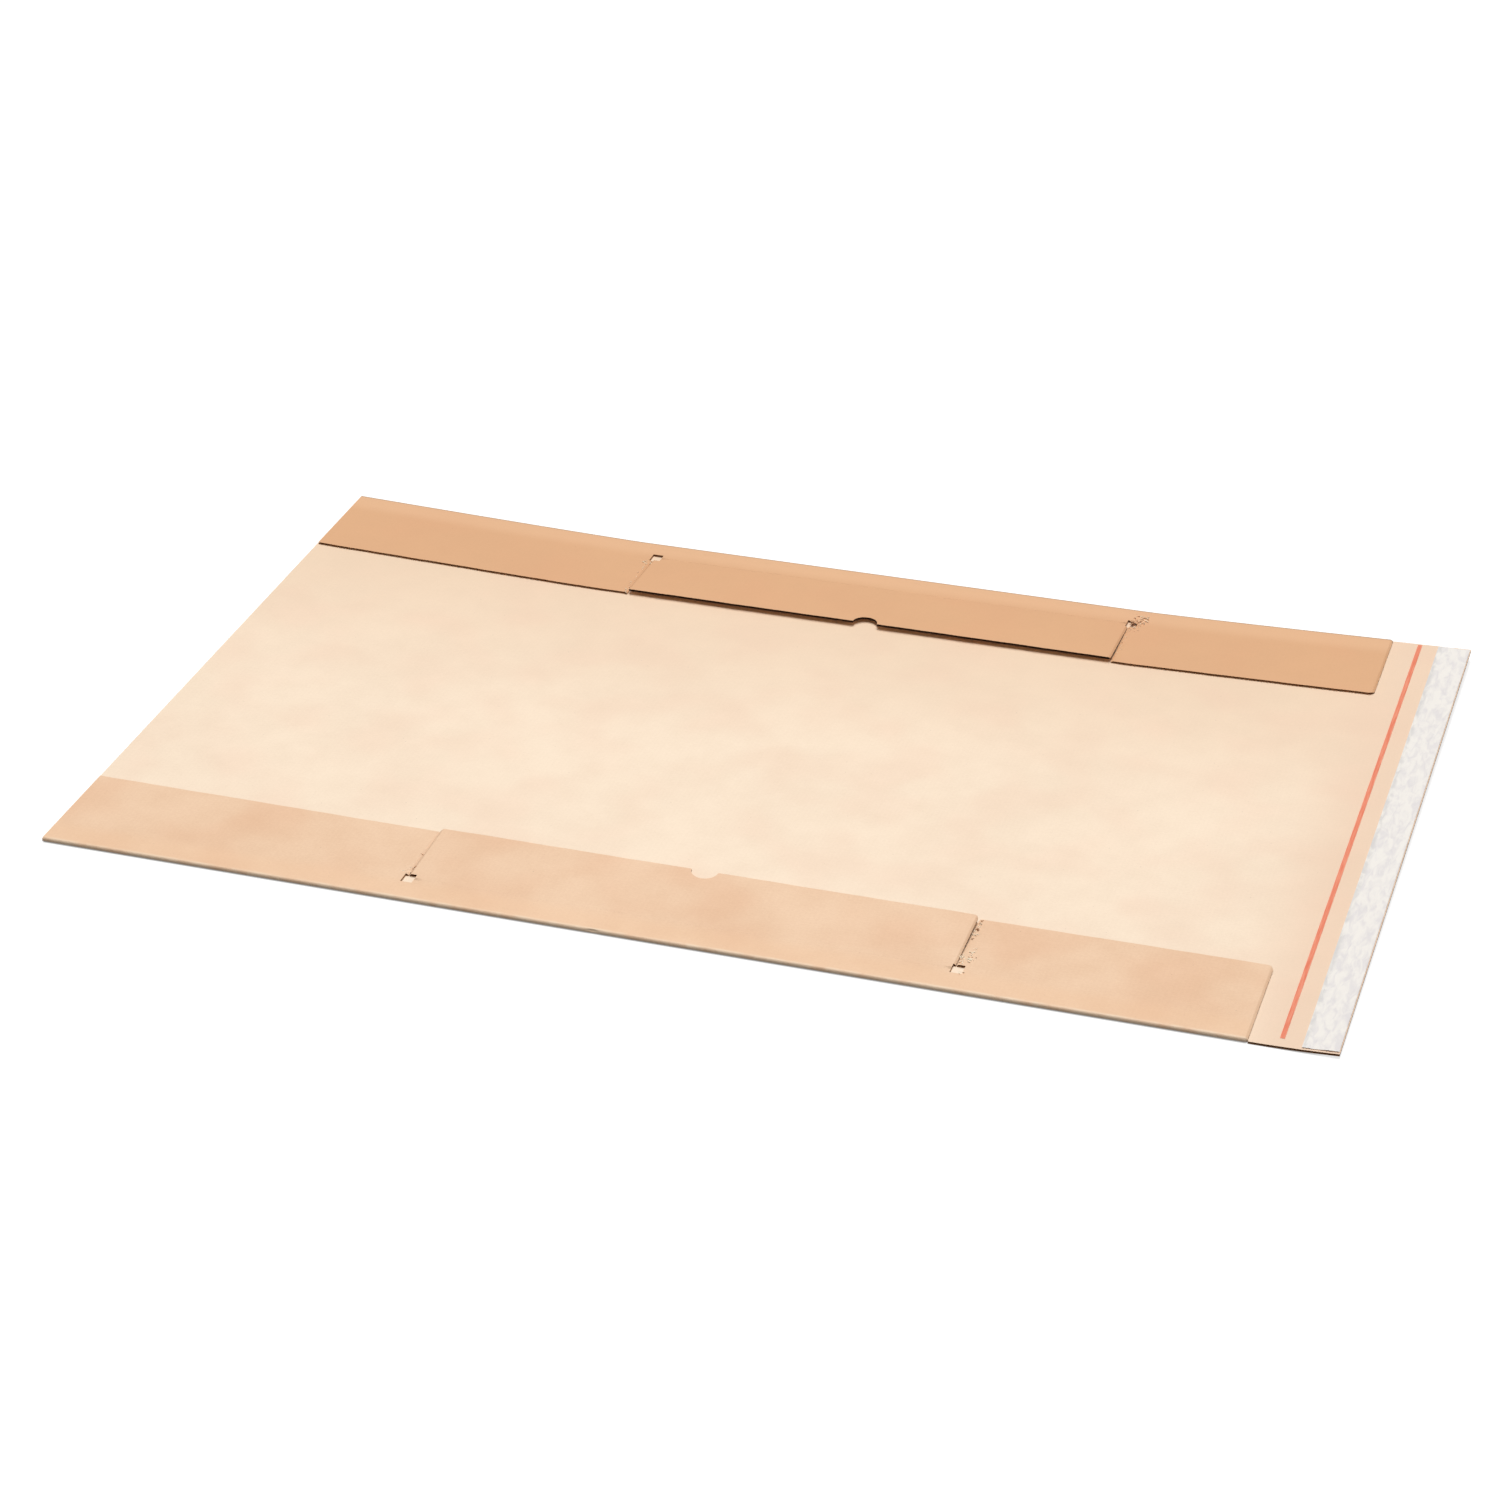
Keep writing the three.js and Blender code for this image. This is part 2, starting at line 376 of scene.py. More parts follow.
def cell_skin(name, xs, ss, hs, filled, placed, materials):
    """The closed skin round the filled cells of a lattice, as a smooth-shaded piece.

    Its materials are those of the outer face, the inner face, the edges cut along the
    sheet, where the flutes are open, and the edges cut across it, which the die crushes.
    """
    shape = tuple(len(axis) for axis in (xs, ss, hs))
    padded = np.pad(filled, 1)
    quads, slots = [], []
    square = ((0, 0), (1, 0), (1, 1), (0, 1))
    for axis in range(3):
        for outward in (0, 1):
            step = 1 if outward else -1
            beside = np.roll(padded, -step, axis)[1:-1, 1:-1, 1:-1]
            cells = np.argwhere(filled & ~beside)
            others = [a for a in range(3) if a != axis]
            corners = []
            turned = square if (outward == 1) == (axis != 1) else square[::-1]
            for du, dv in turned:
                corner = cells.copy()
                corner[:, axis] += outward
                corner[:, others[0]] += du
                corner[:, others[1]] += dv
                corners.append(np.ravel_multi_index(corner.T, shape))
            quads.append(np.stack(corners, 1))
            level = cells[:, 2] + outward
            face_slot = np.full(len(cells), crushed_face if axis == 0 else cut_face)
            if axis == 2:
                face_slot[level == 0] = outer_face
                face_slot[level == shape[2] - 1] = inner_face
            slots.append(face_slot)
    quads, slots = np.concatenate(quads), np.concatenate(slots)
    used, faces = np.unique(quads, return_inverse=True)
    i, j, k = np.unravel_index(used, shape)
    points = np.stack(placed(xs[i], ss[j], hs[k]), 1)
    piece = plain_mesh(name, points.tolist(), faces.reshape(-1, 4).tolist(), materials)
    piece.data.polygons.foreach_set("material_index", slots.astype(np.int32))
    piece.data.polygons.foreach_set("use_smooth", np.ones(len(slots), bool))
    piece.data.set_sharp_from_angle(angle=sharp_turn)
    return piece


def middles(axis):
    """The middles of a lattice's cells along one axis."""
    return (axis[1:] + axis[:-1]) / 2


def layered(paper, soft_paper, xs, ss):
    """Which cells hold board: both liners, and the medium set back from the cut edges."""
    x, s = np.meshgrid(middles(xs), middles(ss), indexing="ij")
    sheet = paper(x, s)
    core = sheet.copy()
    for dx in (-rim_depth, 0, rim_depth):
        for ds in (-tunnel_depth, 0, tunnel_depth):
            core &= soft_paper(x + dx, s + ds)
    return np.stack([sheet, core, sheet], 2)


def board_paper(x, s, window_inset=crease_inset):
    """Where the flat blank is board: its base, its folded sides and the plain end's lips."""
    reach = abs(s)
    inset = reach - across_of(0)
    folded = (reach > fold_centre) & (x < side_end)
    window = (inset > window_inset) & (x > cut_left) & (x < cut_right)
    relief = (inset > relief_near) & (inset < relief_far)
    in_span = np.zeros_like(window)
    for low, high in relief_spans:
        in_span |= (x > low) & (x < high)
    side = folded & (x > side_start) & (reach < sheet_edge) & ~window & ~(relief & in_span)
    base = (reach < fold_centre) & (abs(x) < half_length)
    lip = (x > side_end + cut_slit) & (x < half_length) & (reach < half_width)
    return base | side | lip


def board_soft_paper(x, s):
    """The same, but the medium isn't set back at the crease, which is no cut edge."""
    return board_paper(x, s, crease_inset + tunnel_depth)


along_step = 7 * mm
across_step = 9 * mm
base_step = 24 * mm
fold_steps = 14
quarters = (0.25, 0.5, 0.75, 1)

x_marks = [-half_length, -half_length + rim_depth, side_start, side_start + rim_depth]
x_marks += [cut_left - rim_depth, cut_left, cut_right, cut_right + rim_depth]
x_marks += [cut_left - crush_reach, cut_right + crush_reach, side_end - crush_reach]
for low, high in relief_spans:
    x_marks += [low - rim_depth, low, high, high + rim_depth]
x_marks += [side_end - corner_radius * share for share in quarters]
x_marks += [side_end - rim_depth, side_end, side_end + cut_slit, side_end + cut_slit + rim_depth]
x_marks += [half_length - rim_depth, half_length]
x_marks += [nick_x + nick_width * share for share in np.linspace(-2, 2, 13)]
x_lines = lines(x_marks, along_step)

s_marks = [0, fold_centre - tunnel_depth, fold_centre, half_width - tunnel_depth, half_width]
s_marks += [fold_centre + fold_arc * i / fold_steps for i in range(fold_steps + 1)]
s_marks += [across_of(inset) for inset in (crease_inset, crease_inset - tunnel_depth)]
s_marks += [across_of(inset) for inset in (relief_near, relief_near - tunnel_depth)]
s_marks += [across_of(inset) for inset in (relief_far, relief_far + tunnel_depth)]
s_marks += [sheet_edge - corner_radius * share for share in (0, *quarters)]
s_side = lines(s_marks, across_step)
s_base = lines([0, fold_centre - tunnel_depth], base_step)
s_half = np.concatenate([s_base, s_side[s_side > s_base[-1] + 0.1**mark_digits]])
s_lines = np.concatenate([-s_half[:0:-1], s_half])
h_lines = np.array([0, liner, thickness - liner, thickness])

# The kraft's pattern scales, where on the board it fades from one tone to the next, and
# its lighter and darker tones as shares of its own. The fades paint a sheen towards the
# front, shade over the plain end and the rear fold's far side, and a highlight on the crests.
flute_pitch = 3.5 * mm
cloud_scale = 7
small_cloud_scale = 38
rosy_scale = 15
rub_scale = 70
speck_scale = 240
tooth_scale = 1800
tooth_height = 0.05 * mm
fibre_scales = (380, 900, 380)
fibre_curl = 1.4
sheen_fade = (0.24, -0.05)
end_shade_fade = (side_end - 45 * mm, side_end + 35 * mm)
riser_fade = (half_width - crease_inset - 4 * mm, half_width - 14 * mm)
crest_wear_and_highlight_fade = (half_width - 3.5 * mm, half_width - 1 * mm)
far_crest_shade_fade = (fold_centre - 1.3 * mm, fold_centre - 0.3 * mm)
rosy_shares = (1.02, 0.9, 0.92)
pulp_share = 0.86
speck_share = 0.45
far_crest_shade_share = 0.4
crushed_share = 0.62


def tone(red, green, blue):
    """A colour as a screen shows it, 0 to 255, made linear."""
    channels = [value / 255 for value in (red, green, blue)]
    return (*[((c + 0.055) / 1.055) ** 2.4 for c in channels], 1.0)


def times(colour, share):
    """A colour times one share, or times a share for each channel."""
    return (*(np.array(colour[:3]) * share), 1.0)


def noise(place, scale, detail, distortion=0.0):
    """Cloudy noise over a place: its scale, its finer layers, and how far it is curled."""
    sockets = {"Vector": place, "Scale": scale, "Detail": detail, "Distortion": distortion}
    return place.node("TexNoise", sockets)


def stretched(place, scales):
    """A place with a scale of its own along each axis, for drawn-out noise."""
    return place.node("Mapping", {"Vector": place, "Scale": scales})


def kraft_finish(name, rear_tone, front_sheen_tone, end_shade_tone=None, fold_wear_and_light=0.0, gloss=0.5):
    """A kraft liner: cloudy pulp, short fibres, specks, the flutes' faint washboard and a painted
    sheen.
    """
    material, wire, output = finish_named(name)
    place = wire.node("TexCoord", output="Object")
    along = wire.node("SeparateXYZ", {0: place}, output="X")
    across = wire.node("SeparateXYZ", {0: place}, output="Y")

    clouds = noise(place, cloud_scale, 3) * 0.6 + noise(place, small_cloud_scale, 3) * 0.4
    fibres = noise(stretched(place, fibre_scales), 1, 4, fibre_curl)
    washboard = wire.maths("SINE", along * (math.tau / flute_pitch))
    speck_sockets = {"Vector": place, "Scale": speck_scale}
    speck_near = wire.node("TexVoronoi", speck_sockets, output="Distance")
    speck_pick = wire.node("TexVoronoi", speck_sockets, output="Color").rising(0.84, 0.9)
    specks = (1 - speck_near.rising(0.04, 0.15)) * speck_pick

    # Painted sheen: the kraft pales from its rear tone to a lit front tone towards the front.
    colour = across.rising(*sheen_fade).mix(rear_tone, front_sheen_tone)
    # Painted shade: the plain end fades to a darker tone without the sheen.
    if end_shade_tone:
        colour = along.rising(*end_shade_fade).mix(colour, end_shade_tone)
    rosy = noise(place, rosy_scale, 1).rising(0.4, 0.7)
    colour = (rosy * 0.22).mix(colour, times(rear_tone, rosy_shares))
    shade = clouds.rising(0.3, 0.7) * 0.5 + fibres.rising(0.35, 0.65) * 0.32 + washboard * 0.03
    colour = (shade * 0.5).mix(colour, times(rear_tone, pulp_share))
    colour = (specks * 0.4).mix(colour, times(rear_tone, speck_share))
    if fold_wear_and_light:
        riser = abs(across).rising(*riser_fade)
        colour = (riser * 0.3).mix(colour, tone(244, 200, 160))
        # Rubbed wear on the fold crests, lightened further as a painted highlight on their round
        # tops.
        rubbed_and_highlight = abs(across).rising(*crest_wear_and_highlight_fade) * noise(place, rub_scale, 3).rising(0.25, 0.65)
        colour = (rubbed_and_highlight * fold_wear_and_light).mix(colour, tone(250, 230, 202))
        # Painted shade on the far side of the rear fold.
        far_crest_shade = across.rising(*far_crest_shade_fade)
        colour = (far_crest_shade * 0.6).mix(colour, times(rear_tone, far_crest_shade_share))
        crushed_end = wire.node("Attribute", attribute_name="crushed", output="Fac")
        colour = (crushed_end * 0.2).mix(colour, times(rear_tone, crushed_share))

    tooth = noise(place, tooth_scale, 3) * 0.35 + fibres * 0.5 + washboard * 0.2
    bump_sockets = {"Height": tooth, "Distance": tooth_height, "Strength": 0.5}
    bump = wire.node("Bump", bump_sockets, output="Normal")
    rough = fibres * 0.12 + gloss
    shader = wire.node("BsdfPrincipled", {"Base Color": colour, "Roughness": rough, "Normal": bump})
    wire.tree.links.new(shader.socket, output.inputs["Surface"])
    return material


# Each kraft's second tone is the first under a painted sheen; the pale liner's third is painted
# shade.
inner_kraft = kraft_finish(
    "pale_inner_kraft", tone(244, 216, 187), tone(254, 233, 208), tone(244, 214, 187),
)
outer_kraft = kraft_finish(
    "brown_outer_kraft", tone(226, 175, 131), tone(244, 209, 176), fold_wear_and_light=0.55,
)
cut_kraft = kraft_finish("cut_board_edge", tone(182, 134, 92), tone(190, 142, 98), gloss=0.75)
# The flap's cut edges are a darker copy of the cut edge: painted shade of the gap under each flap.
shaded_cut = kraft_finish("flap_cut_edge_painted_shade", tone(78, 46, 24), tone(160, 110, 70), gloss=0.8)
# The crushed end walls are a lighter copy, painted light that keeps them pale in their own shade.
lightened_crushed_kraft = kraft_finish(
    "crushed_cut_edge_painted_light", tone(232, 190, 150), tone(250, 218, 186), gloss=0.6,
)
kraft_faces = [outer_kraft, inner_kraft, cut_kraft, lightened_crushed_kraft]
flap_faces = [outer_kraft, inner_kraft, shaded_cut, lightened_crushed_kraft]

board_cells = layered(board_paper, board_soft_paper, x_lines, s_lines)
board = cell_skin("folded_board", x_lines, s_lines, h_lines, board_cells, on_board, kraft_faces)
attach(board, "board")
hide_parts("mailer_board")


# Centre flaps
# The middle of each folded side, cut free at both ends and left unglued. It hinges on the
# second crease, has a thumb notch in its free edge, and springs up a little.
rest_lift = math.radians(2.6)
rear_droop = 0.3 * mm
droop_power = 1.5
notch_radius = 10.5 * mm
notch_blend = 27 * mm
flap_corner = 3 * mm
flap_sway_seed = 5
past_slit = 1.5 * cut_width
flap_across_step = 5 * mm
corner_shares = (0.4, 0.7, 1)
flap_reach = side_width - crease_inset
flap_left = cut_left + cut_width
flap_right = cut_right - cut_width
hinge_left = relief_spans[0][1]
hinge_right = relief_spans[1][0]
relief_reach = relief_depth / 2
hinges = {joint["child"]: Vector(joint["pos_m"]) for joint in frame["joints"]}


def on_flap(side, hinge, droop):
    """Where a point of a centre flap lies: x along, r from the hinge, h down from its top."""

    def placed(x, r, h):
        past = abs(x - flap_centre)
        past, r = rounded(past, r, flap_right - flap_centre, flap_reach, flap_corner)
        x = flap_centre + np.sign(x - flap_centre) * past
        h = crushed_by(h, flap_right - flap_centre - past)
        notch = np.sqrt(np.maximum(0, notch_radius**2 - (x - flap_centre) ** 2))
        far = smooth((r - flap_reach + notch_blend) / notch_blend)
        r = r - notch * far + edge_sway * sway(x, flap_sway_seed + side) * far
        past_middle = np.maximum(0, x - flap_centre) / (flap_right - flap_centre)
        bend = -droop * past_middle**2 * np.clip(r / flap_reach, 0, 1) ** droop_power
        y = side * (abs(hinge.y) - r * math.cos(rest_lift) - h * math.sin(rest_lift))
        z = hinge.z + r * math.sin(rest_lift) - h * math.cos(rest_lift) + bend
        return x, y, z

    return placed


def flap_paper(x, r):
    """Where a centre flap is board: clear of the hinge line and of both relief slots."""
    inside = (x > flap_left) & (x < flap_right) & (r > cut_width) & (r < flap_reach)
    beside_hinge = (x < hinge_left) | (x > hinge_right)
    return inside & ~(beside_hinge & (r < relief_reach))


def flap_soft_paper(x, r):
    """The same, but the medium isn't set back at the crease, which is no cut edge."""
    return flap_paper(x, np.maximum(r, past_slit))


flap_x_marks = [flap_left, flap_left + rim_depth, hinge_left, hinge_left + rim_depth]
flap_x_marks += [hinge_right - rim_depth, hinge_right, flap_right - rim_depth, flap_right]
flap_x_marks += [flap_left + crush_reach, flap_right - crush_reach]
flap_x_marks += [flap_left + flap_corner * share for share in corner_shares]
flap_x_marks += [flap_right - flap_corner * share for share in corner_shares]
notch_turns = [math.radians(turn) for turn in range(-90, 91, 9)]
flap_x_marks += [flap_centre + notch_radius * math.sin(turn) for turn in notch_turns]
flap_x_lines = lines(flap_x_marks, along_step)
flap_r_marks = [cut_width, relief_reach, relief_reach + tunnel_depth, flap_reach]
flap_r_marks += [flap_reach - tunnel_depth, flap_reach - notch_blend]
flap_r_marks += [flap_reach - flap_corner * share for share in quarters]
flap_r_lines = lines(flap_r_marks, flap_across_step)
flap_cells = layered(flap_paper, flap_soft_paper, flap_x_lines, flap_r_lines)

flap_rows = [("front", -1, 0.0), ("rear", 1, rear_droop)]
for end, side, droop in flap_rows:
    placed = on_flap(side, hinges[end + "_flap"], droop)
    flap = cell_skin(
        end + "_lifting_flap", flap_x_lines, flap_r_lines, h_lines, flap_cells, placed, flap_faces,
    )
    if side < 0:
        flap.data.flip_normals()
    # The kraft is a little darker over the crushed ends.
    along = np.array([corner.co.x for corner in flap.data.vertices])
    from_cut = np.minimum(along - flap_left, flap_right - along)
    crushed = flap.data.attributes.new("crushed", "FLOAT", "POINT")
    crushed.data.foreach_set("value", np.clip(1 - from_cut / crush_reach, 0, 1).astype(np.float32))
    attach(flap, end + "_flap")
    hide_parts(end + "_centre_flap")


# Crease bands
# Both liners run on through the second crease, which is scored along its middle. The band
# follows the board on one side and the lifting flap on the other.
band_top = [(-1.6, 0.04), (-1.3, -0.02), (-0.6, -0.03), (-0.2, 0.01), (0.1, 0.05)]
band_top += [(0.45, 0.01), (0.9, -0.03), (1.6, -0.02), (2.0, 0.04)]
band_under_share = 0.9
band_turn_reach = 0.3 * mm
band_step = 8 * mm
band_end_gap = 0.1 * mm


def on_crease(side, hinge, r, h):
    """Where a point of the band lies: r from the hinge, h down from the board's top."""
    lift = rest_lift * np.clip(r / band_turn_reach, 0, 1)
    y = side * (abs(hinge.y) - r * np.cos(lift) - h * np.sin(lift))
    return y, hinge.z + r * np.sin(lift) - h * np.cos(lift)


def crease_band(end, side, hinge):
    """A closed strip through the crease, scored on top and a little proud on both faces."""
    top = [(r * mm, h * mm) for r, h in band_top]
    under = [(r, thickness - h * band_under_share) for r, h in reversed(top)]
    loop = top + under
    stations = lines([hinge_left + band_end_gap, hinge_right - band_end_gap], band_step)
    corners, faces = [], []
    for x in stations:
        for r, h in loop:
            y, z = on_crease(side, hinge, r, h)
            corners.append((x, float(y), float(z)))
    count = len(loop)
    for i in range(len(stations) - 1):
        for j in range(count):
            near, far = i * count, (i + 1) * count
            faces.append((near + j, far + j, far + (j + 1) % count, near + (j + 1) % count))
    faces.append(tuple(range(count)))
    faces.append(tuple(range((len(stations) - 1) * count, len(stations) * count))[::-1])
    band = plain_mesh(end + "_crease_band", corners, faces, kraft_faces)
    if side > 0:
        band.data.flip_normals()
    for index, face in enumerate(band.data.polygons):
        face.material_index = outer_face if index % count < len(top) - 1 else inner_face
        face.use_smooth = index < len(faces) - 2
    for face in band.data.polygons[-2:]:
        face.material_index = cut_face
    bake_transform(band)


for end, side, _ in flap_rows:
    crease_band(end, side, hinges[end + "_flap"])


# Fluted medium
# The wavy paper between the liners, open to view in every edge that is cut along the
# sheet. The flutes run across it, so each cut shows their ends.
flute_paper = 0.16 * mm
flute_start = 0.15 * mm
flute_height = thickness - 2 * liner - flute_paper
flute_samples = 10
flute_sharp_turn = math.radians(50)
weld_reach = 0.001 * mm


def named_tree(name, inputs):
    """A new Geometry Nodes tree, a wire from each of its named inputs, and its output node."""
    tree = bpy.data.node_groups.new(name, "GeometryNodeTree")
    tree.interface.new_socket("Geometry", in_out="OUTPUT", socket_type="NodeSocketGeometry")
    for label, kind in inputs.items():
        tree.interface.new_socket(label, in_out="INPUT", socket_type="NodeSocket" + kind)
    given = tree.nodes.new("NodeGroupInput")
    wires = {label: Wire(tree, given.outputs[label]) for label in inputs}
    return tree, wires, tree.nodes.new("NodeGroupOutput")


def grown(tree, values):
    """Runs a Geometry Nodes tree with these inputs and returns its corners and faces."""
    holder = plain_mesh("tree_holder", [], [], [])
    modifier = holder.modifiers.new("tree", "NODES")
    modifier.node_group = tree
    for item in tree.interface.items_tree:
        if item.in_out == "INPUT":
            modifier[item.identifier] = values[item.name]
    evaluated = holder.evaluated_get(bpy.context.evaluated_depsgraph_get())
    mesh = bpy.data.meshes.new_from_object(evaluated)
    corners = np.array([corner.co for corner in mesh.vertices], float).reshape(-1, 3)
    faces = [tuple(face.vertices) for face in mesh.polygons]
    bpy.data.objects.remove(holder)
    return corners, faces


def flutes_tree():
    """A wavy strip of paper, as thick as Paper, with Samples points in each Pitch."""
    tree, given, output = named_tree("flutes", {
        "Length": "Float", "Pitch": "Float", "Height": "Float", "Depth": "Float",
        "Paper": "Float", "Samples": "Float", "Weld": "Float", "Material": "Material",
    })
    wire = Wire(tree)
    stations = given["Length"] / given["Pitch"] * given["Samples"] + 1
    sheet = wire.node("GeometryNodeMeshGrid", {
        "Size X": given["Length"], "Size Y": given["Depth"],
        "Vertices X": stations, "Vertices Y": 2,
    })
    along = wire.node("SeparateXYZ", {0: wire.node("GeometryNodeInputPosition")}, output="X")
    turn = along * math.tau / given["Pitch"]
    rise = turn.maths("SINE", turn) * given["Height"] * 0.5
    offset = wire.node("CombineXYZ", {"Z": rise})
    wavy = wire.node("GeometryNodeSetPosition", {"Geometry": sheet, "Offset": offset})
    raised = wire.node("GeometryNodeExtrudeMesh", {
        "Mesh": wavy, "Offset Scale": given["Paper"], "Individual": False,
    })
    under = wire.node("GeometryNodeFlipFaces", {"Mesh": wavy})
    both = tree.nodes.new("GeometryNodeJoinGeometry")
    tree.links.new(raised.socket, both.inputs[0])
    tree.links.new(under.socket, both.inputs[0])
    joined = Wire(tree, both.outputs[0])
    closed = wire.node("GeometryNodeMergeByDistance", {
        "Geometry": joined, "Distance": given["Weld"],
    })
    solid = wire.node("GeometryNodeRealizeInstances", {"Geometry": closed})
    ready = wire.node("GeometryNodeSetMaterial", {"Geometry": solid, "Material": given["Material"]})
    tree.links.new(ready.socket, output.inputs[0])
    return tree


flutes = flutes_tree()


def flute_run(x0, x1, material, placed):
    """The medium in one cut edge from x0 to x1, put in its place in the sheet."""
    values = {
        "Length": x1 - x0, "Pitch": flute_pitch, "Height": flute_height, "Depth": tunnel_depth,
        "Paper": flute_paper, "Samples": flute_samples, "Weld": weld_reach, "Material": material,
    }
    corners, faces = grown(flutes, values)
    x = corners[:, 0] + (x0 + x1) / 2
    behind = corners[:, 1] + tunnel_depth / 2 + flute_start
    h = thickness / 2 - flute_paper / 2 + corners[:, 2]
    return np.stack(placed(x, behind, h), 1), faces


def joined_runs(name, runs, material, body, flipped):
    """One piece from several runs of flutes, riding on a body."""
    corners, faces = [], []
    for run_corners, run_faces in runs:
        faces += [tuple(len(corners) + corner for corner in face) for face in run_faces]
        corners += run_corners.tolist()
    piece = plain_mesh(name, corners, faces, [material])
    if flipped:
        piece.data.flip_normals()
    piece.data.polygons.foreach_set("use_smooth", np.ones(len(faces), bool))
    piece.data.set_sharp_from_angle(angle=flute_sharp_turn)
    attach(piece, body)


inner_edge_spans = [(side_start + rim_depth, cut_left - rim_depth)]
inner_edge_spans += [(cut_right + rim_depth, side_end - corner_radius)]
lip_span = (side_end + cut_slit + rim_depth, half_length - rim_depth)
for end, side, droop in flap_rows:
    board_runs = []
    for x0, x1 in inner_edge_spans:
        board_runs.append(
            flute_run(x0, x1, cut_kraft, lambda x, b, h: on_board(x, side * (sheet_edge - b), h))
        )
    board_runs.append(
        flute_run(*lip_span, cut_kraft, lambda x, b, h: on_board(x, side * (half_width - b), h))
    )
    joined_runs(end + "_side_flutes", board_runs, cut_kraft, "board", side < 0)
    on_this = on_flap(side, hinges[end + "_flap"], droop)
    # The flap's flutes take that darker edge kraft, painted shade of the gap under the flap.
    flap_run = flute_run(
        flap_left + flap_corner, flap_right - flap_corner, shaded_cut,
        lambda x, b, h: on_this(x, flap_reach - b, h),
    )
    joined_runs(end + "_flap_flutes", [flap_run], shaded_cut, end + "_flap", side < 0)


# Torn fibres
# The die leaves small nicks uncut, and they tear when a side is folded: tufts of pale and
# brown fibres stand round the relief slots and along the cuts.
fibre_slimness = 0.2
fibre_flatness = 0.3
fibre_taper = 0.75
fibre_bow = 0.12
fibre_tip_rise = 0.04
fibre_steps = 4
fibre_sides = 5
fibre_least_size = 0.35
fibre_least_turn = (-0.25, -0.4, 0)
fibre_most_turn = (0.25, 0.05, math.tau)

torn_pale = kraft_finish("torn_pale_fibre", tone(252, 226, 192), tone(255, 240, 214), gloss=0.8)
torn_brown = kraft_finish("torn_brown_fibre", tone(150, 98, 60), tone(176, 124, 84), gloss=0.8)


def tufts_tree():
    """Flat tapered blades of paper, strewn over a patch and turned at random."""
    tree, given, output = named_tree("torn_fibres", {
        "Count": "Int", "Spread X": "Float", "Spread Y": "Float", "Length": "Float",
        "Width": "Float", "Seed": "Int", "Material": "Material",
    })
    wire = Wire(tree)
    reach = given["Length"]
    middle = wire.node("CombineXYZ", {"X": reach * 0.5, "Z": reach * fibre_bow})
    tip = wire.node("CombineXYZ", {"X": reach, "Z": reach * fibre_tip_rise})
    spine = wire.node("GeometryNodeCurveQuadraticBezier", {
        "Resolution": fibre_steps, "Start": (0, 0, 0), "Middle": middle, "End": tip,
    })
    outline = wire.node("GeometryNodeCurvePrimitiveCircle", {
        "Resolution": fibre_sides, "Radius": given["Width"],
    })
    flat = wire.node("GeometryNodeTransform", {
        "Geometry": outline, "Scale": (1, fibre_flatness, 1),
    })
    along = wire.node("GeometryNodeSplineParameter")
    slimmer = 1 - along * fibre_taper
    taper = wire.node("GeometryNodeSetCurveRadius", {"Curve": spine, "Radius": slimmer})
    blade = wire.node("GeometryNodeCurveToMesh", {
        "Curve": taper, "Profile Curve": flat, "Fill Caps": True,
    })

    def chance(kind, low, high, salt):
        """A random value for each blade. The salt gives each draw a seed of its own."""
        added = tree.nodes.new("FunctionNodeRandomValue")
        added.data_type = kind
        sockets = {"Min": low, "Max": high, "Seed": given["Seed"] + salt}
        for label, value in sockets.items():
            slot = next(i for i in added.inputs if i.name == label and i.enabled)
            if isinstance(value, Wire):
                tree.links.new(value.socket, slot)
            else:
                slot.default_value = value
        return Wire(tree, next(o for o in added.outputs if o.enabled))

    spot = wire.node("CombineXYZ", {
        "X": chance("FLOAT", -0.5, 0.5, 1) * given["Spread X"],
        "Y": chance("FLOAT", -0.5, 0.5, 2) * given["Spread Y"],
    })
    spots = wire.node("GeometryNodePoints", {"Count": given["Count"], "Position": spot})
    turn = chance("FLOAT_VECTOR", fibre_least_turn, fibre_most_turn, 3)
    size = chance("FLOAT", fibre_least_size, 1.0, 4)
    strewn = wire.node("GeometryNodeInstanceOnPoints", {
        "Points": spots, "Instance": blade, "Rotation": turn, "Scale": size,
    })
    solid = wire.node("GeometryNodeRealizeInstances", {"Geometry": strewn})
    ready = wire.node("GeometryNodeSetMaterial", {"Geometry": solid, "Material": given["Material"]})
    tree.links.new(ready.socket, output.inputs[0])
    return tree


tufts = tufts_tree()


def tuft_group(name, rows, material, side):
    """Torn fibres in several patches on one folded side, riding on the board.

    A row is x in metres, then in mm how far in from the fold and the spreads along and
    across, the number of blades, their greatest length in mm, and a seed.
    """
    corners, faces = [], []
    for x, inset, spread_x, spread_y, count, length, seed in rows:
        grown_corners, grown_faces = grown(tufts, {
            "Count": count, "Spread X": spread_x * mm, "Spread Y": spread_y * mm,
            "Length": length * mm, "Width": length * fibre_slimness * mm, "Seed": seed,
            "Material": material,
        })
        faces += [tuple(len(corners) + corner for corner in face) for face in grown_faces]
        across = across_of(inset * mm + grown_corners[:, 1])
        spots = (grown_corners[:, 0] + x, side * across, -grown_corners[:, 2])
        corners += np.stack(on_board(*spots), 1).tolist()
    piece = plain_mesh(name, corners, faces, [material])
    if side > 0:
        piece.data.flip_normals()
    piece.data.polygons.foreach_set("use_smooth", np.ones(len(faces), bool))
    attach(piece, "board")


